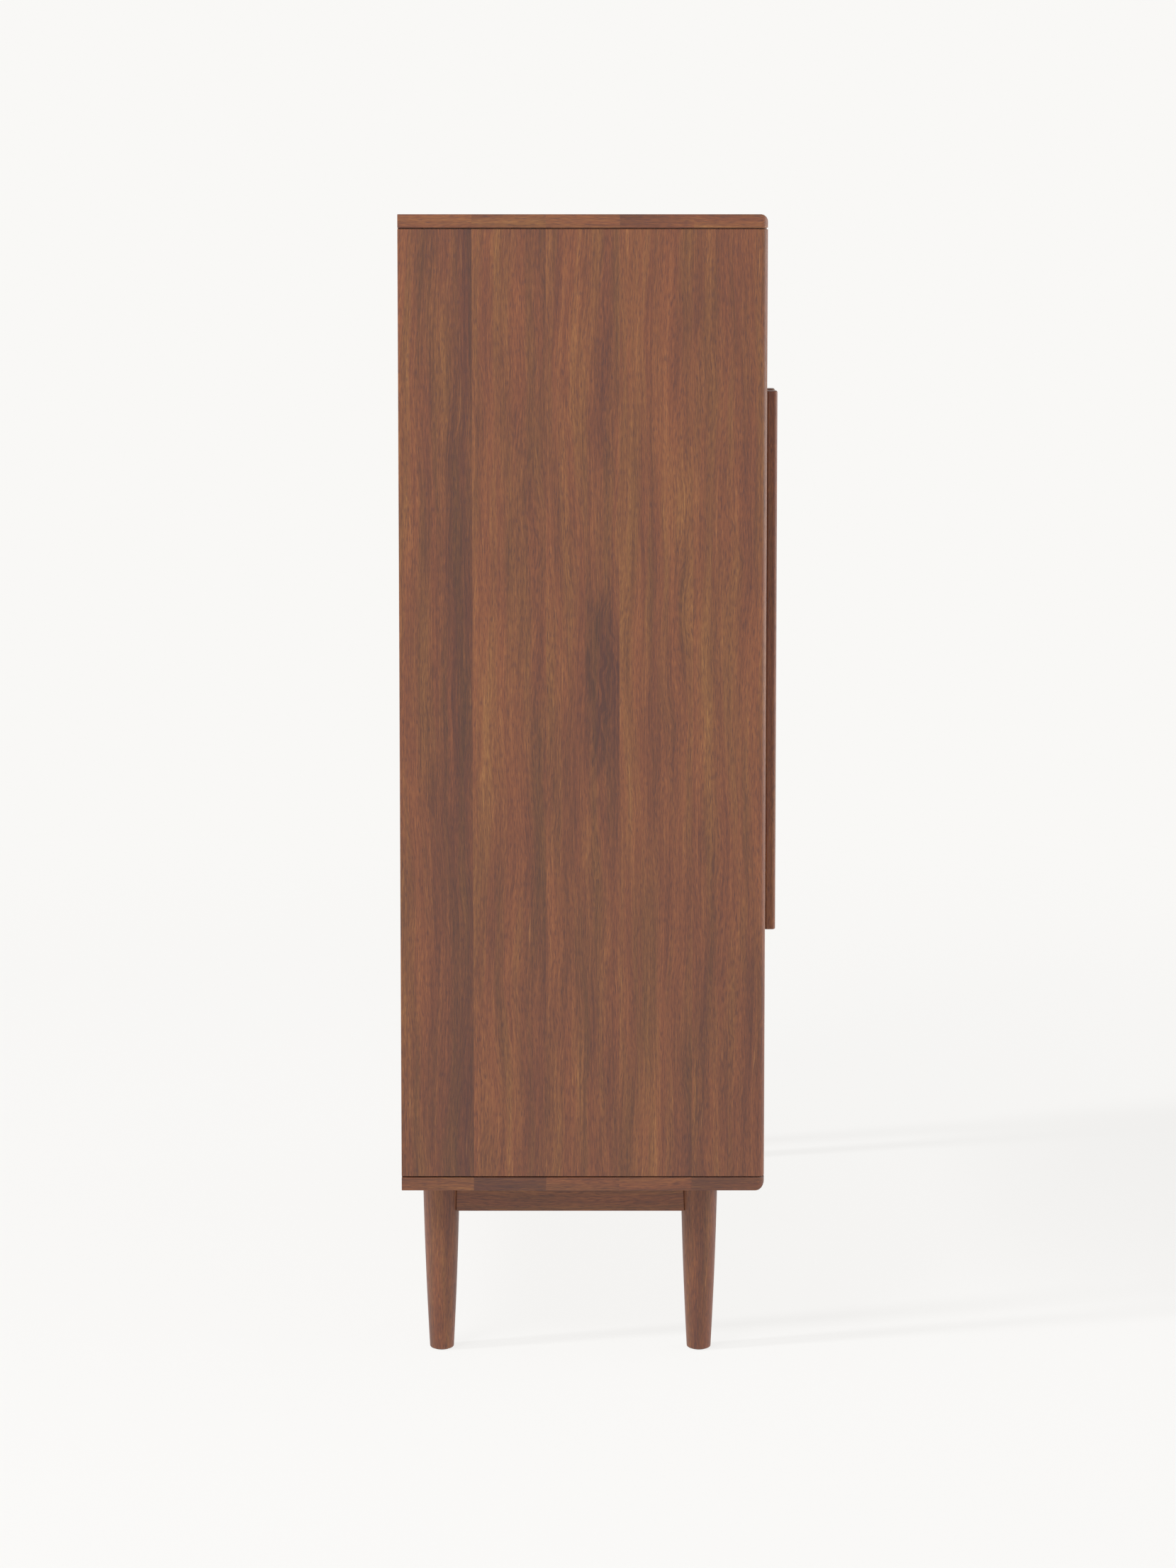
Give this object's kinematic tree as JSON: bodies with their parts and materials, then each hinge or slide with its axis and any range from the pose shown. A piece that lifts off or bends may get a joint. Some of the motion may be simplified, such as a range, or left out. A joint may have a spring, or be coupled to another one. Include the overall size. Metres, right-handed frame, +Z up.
{
  "type": "shoe cabinet",
  "caption": "Tall two-door wooden shoe cabinet on turned tapered legs, with long upright pull handles and removable shelves in two bays.",
  "frame": {"origin": "on the floor, under the middle of the cabinet's bounding box with its handles", "axes": "+Z up; the doors face -Y and the back of the cabinet is at +Y; +X runs from the left door to the right door"},
  "size_m": [0.9, 0.417, 1.22],
  "materials": {
    "walnut_panel": "satin lacquered walnut veneer in five staves",
    "walnut_shelf": "satin lacquered walnut veneer",
    "walnut_door": "satin lacquered walnut veneer, upright grain",
    "walnut_handle": "satin lacquered solid walnut, darker",
    "walnut_leg": "satin lacquered solid walnut",
    "back_board": "matt veneered board",
    "steel": "plated steel",
    "catch_plastic": "dark brown plastic",
    "glide_plastic": "black plastic"
  },
  "bodies": {
    "root": {"top_panel": "walnut_panel", "bottom_panel": "walnut_panel", "side_panel_left": "walnut_panel", "side_panel_right": "walnut_panel", "centre_divider": "walnut_panel", "back_panel": "back_board", "left_shelf_1": "walnut_shelf", "left_shelf_1_wire_left": "steel", "left_shelf_1_wire_right": "steel", "left_shelf_2": "walnut_shelf", "left_shelf_2_wire_left": "steel", "left_shelf_2_wire_right": "steel", "left_shelf_3": "walnut_shelf", "left_shelf_3_wire_left": "steel", "left_shelf_3_wire_right": "steel", "left_shelf_4": "walnut_shelf", "left_shelf_4_wire_left": "steel", "left_shelf_4_wire_right": "steel", "right_shelf_1": "walnut_shelf", "right_shelf_1_wire_left": "steel", "right_shelf_1_wire_right": "steel", "right_shelf_2": "walnut_shelf", "right_shelf_2_wire_left": "steel", "right_shelf_2_wire_right": "steel", "right_shelf_3": "walnut_shelf", "right_shelf_3_wire_left": "steel", "right_shelf_3_wire_right": "steel", "right_shelf_4": "walnut_shelf", "right_shelf_4_wire_left": "steel", "right_shelf_4_wire_right": "steel", "left_top_hinge_carcass_leaf": "steel", "left_bottom_hinge_carcass_leaf": "steel", "left_magnetic_catch": "catch_plastic", "right_top_hinge_carcass_leaf": "steel", "right_bottom_hinge_carcass_leaf": "steel", "right_magnetic_catch": "catch_plastic", "front_left_leg": "walnut_leg", "front_left_leg_glide": "glide_plastic", "front_right_leg": "walnut_leg", "front_right_leg_glide": "glide_plastic", "back_left_leg": "walnut_leg", "back_left_leg_glide": "glide_plastic", "back_right_leg": "walnut_leg", "back_right_leg_glide": "glide_plastic", "left_side_apron": "walnut_leg", "right_side_apron": "walnut_leg", "front_rail": "walnut_leg", "back_rail": "walnut_leg"},
    "left_door_body": {"left_door": "walnut_door", "left_handle": "walnut_handle", "left_strike_plate": "steel", "left_top_hinge_door_leaf": "steel", "left_bottom_hinge_door_leaf": "steel"},
    "right_door_body": {"right_door": "walnut_door", "right_handle": "walnut_handle", "right_strike_plate": "steel", "right_top_hinge_door_leaf": "steel", "right_bottom_hinge_door_leaf": "steel"}
  },
  "joints": [
    {"name": "left_door_hinge", "type": "hinge", "parent": "root", "child": "left_door_body", "pos_m": [-0.416, -0.1695, 0.2035], "axis": [0, 0, -1], "range_deg": [0, 110]},
    {"name": "right_door_hinge", "type": "hinge", "parent": "root", "child": "right_door_body", "pos_m": [0.416, -0.1695, 0.2035], "axis": [0, 0, 1], "range_deg": [0, 110]}
  ]
}
